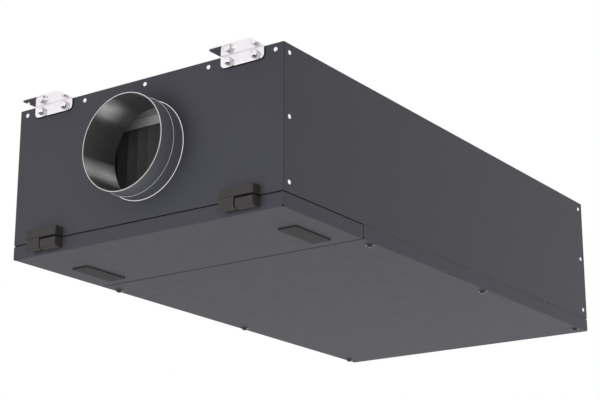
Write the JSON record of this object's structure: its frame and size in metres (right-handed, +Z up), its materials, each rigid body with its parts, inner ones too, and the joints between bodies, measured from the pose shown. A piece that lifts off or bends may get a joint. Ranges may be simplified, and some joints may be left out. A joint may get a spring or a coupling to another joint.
{
  "type": "ceiling air handling unit",
  "caption": "Flat insulated air handling unit for hanging under a ceiling, with round duct spigots, a hinged service door below and angle hangers.",
  "frame": {"origin": "on the flat top face of the front left hanger, 10 mm in front of the front panel, at the hanger's middle", "axes": "+Z up, +Y along the airflow from the inlet to the outlet, +X to the right when facing the inlet panel"},
  "size_m": [0.54, 1.123, 0.2628],
  "materials": {
    "casing_paint": "satin graphite powder coat",
    "spigot_paint": "satin graphite powder coat, bare edges",
    "zinc_plate": "bright zinc plate",
    "hinge_plastic": "fine matt moulded black",
    "lining_board": "black faced insulation board",
    "foam_seal": "closed-cell foam",
    "galvanised_sheet": "galvanised",
    "filter_cloth": "matt pleated fleece",
    "fan_plastic": "glass-filled moulding",
    "motor_aluminium": "die cast",
    "steel_pin": "turned"
  },
  "bodies": {
    "casing": {"front_panel": "casing_paint", "rear_panel": "casing_paint", "left_side_panel": "casing_paint", "right_side_panel": "casing_paint", "top_panel": "casing_paint", "fixed_bottom_panel": "casing_paint", "front_lining": "lining_board", "rear_lining": "lining_board", "left_lining": "lining_board", "right_lining": "lining_board", "top_lining": "lining_board", "bottom_lining": "lining_board", "bottom_panel_seal": "foam_seal", "cross_rail": "galvanised_sheet", "inlet_spigot": "spigot_paint", "outlet_spigot": "spigot_paint", "hanger_front_left": "zinc_plate", "hanger_front_right": "zinc_plate", "hanger_rear_left": "zinc_plate", "hanger_rear_right": "zinc_plate", "hinge_left_casing_leaf": "hinge_plastic", "hinge_left_pin": "steel_pin", "hinge_right_casing_leaf": "hinge_plastic", "hinge_right_pin": "steel_pin", "filter_frame": "galvanised_sheet", "filter_media": "filter_cloth", "filter_guide_left": "galvanised_sheet", "filter_guide_right": "galvanised_sheet", "fan_bulkhead": "galvanised_sheet", "fan_inlet_nozzle": "galvanised_sheet", "fan_wheel": "fan_plastic", "fan_motor": "motor_aluminium", "fan_bracket": "galvanised_sheet"},
    "door": {"service_door": "casing_paint", "door_lining": "lining_board", "door_seal": "foam_seal", "hinge_left_door_leaf": "hinge_plastic", "hinge_right_door_leaf": "hinge_plastic", "latch_left": "hinge_plastic", "latch_right": "hinge_plastic"}
  },
  "joints": [
    {"name": "door_hinge", "type": "hinge", "parent": "casing", "child": "door", "pos_m": [0.194, 0.0015, -0.247], "axis": [-1, 0, 0], "range_deg": [0, 90]}
  ]
}
